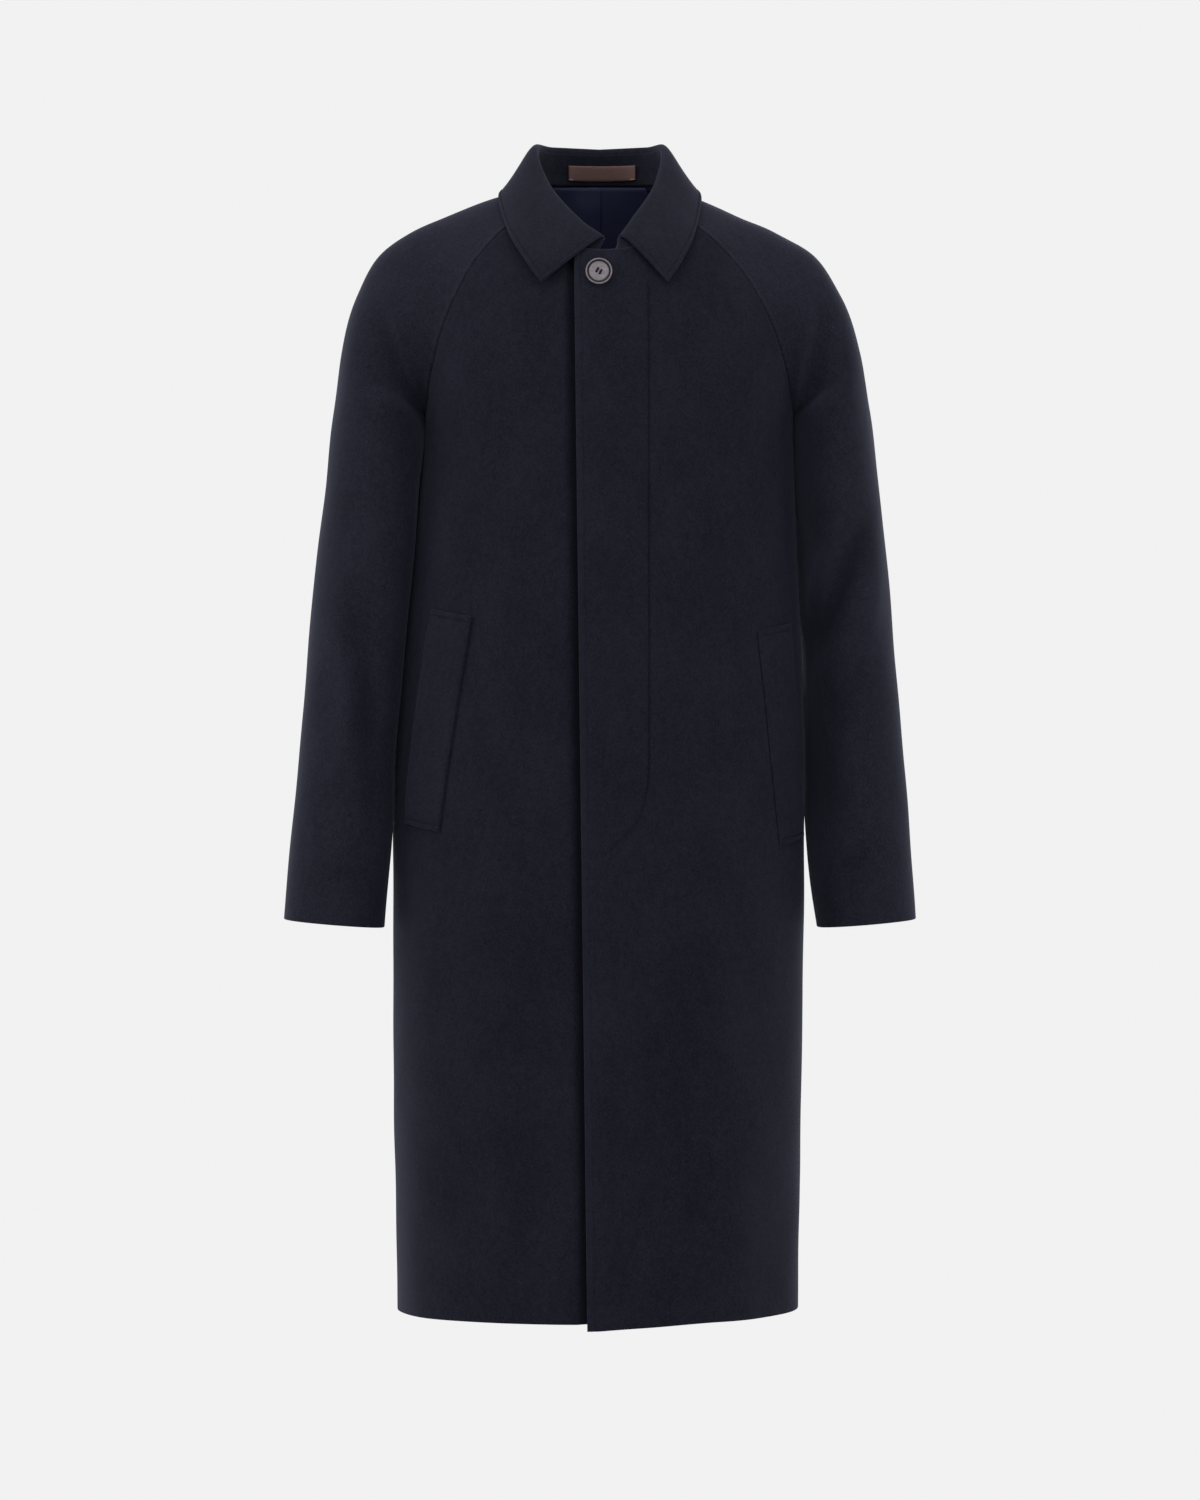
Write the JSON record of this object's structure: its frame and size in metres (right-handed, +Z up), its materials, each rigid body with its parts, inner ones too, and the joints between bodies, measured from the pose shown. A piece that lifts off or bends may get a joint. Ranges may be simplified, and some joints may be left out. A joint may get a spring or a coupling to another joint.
{
  "type": "raglan coat",
  "caption": "Knee-length wool raglan coat with a turn-down collar, concealed fly front, slanted welt pockets and a satin back lining, filled out as worn.",
  "frame": {"origin": "on the centre line of the neck at the height of the back neck seam, between the shoulders that hold the coat up", "axes": "+Z up, -Y to the coat's front, +X to the wearer's left"},
  "size_m": [0.6014, 0.2831, 1.1263],
  "materials": {
    "wool": "brushed navy wool",
    "collar_wool": "brushed navy wool",
    "satin": "navy satin",
    "label": "woven, brown, bare",
    "horn": "grey, satin"
  },
  "bodies": {
    "root": {"front_left": "wool", "front_right": "wool", "back": "wool", "sleeve_front_left": "wool", "sleeve_back_left": "wool", "sleeve_front_right": "wool", "sleeve_back_right": "wool", "pocket_welt_left": "wool", "pocket_welt_right": "wool", "collar_stand": "collar_wool", "collar_fall": "collar_wool", "back_lining": "satin", "neck_label": "label", "button_top": "horn"}
  },
  "joints": []
}
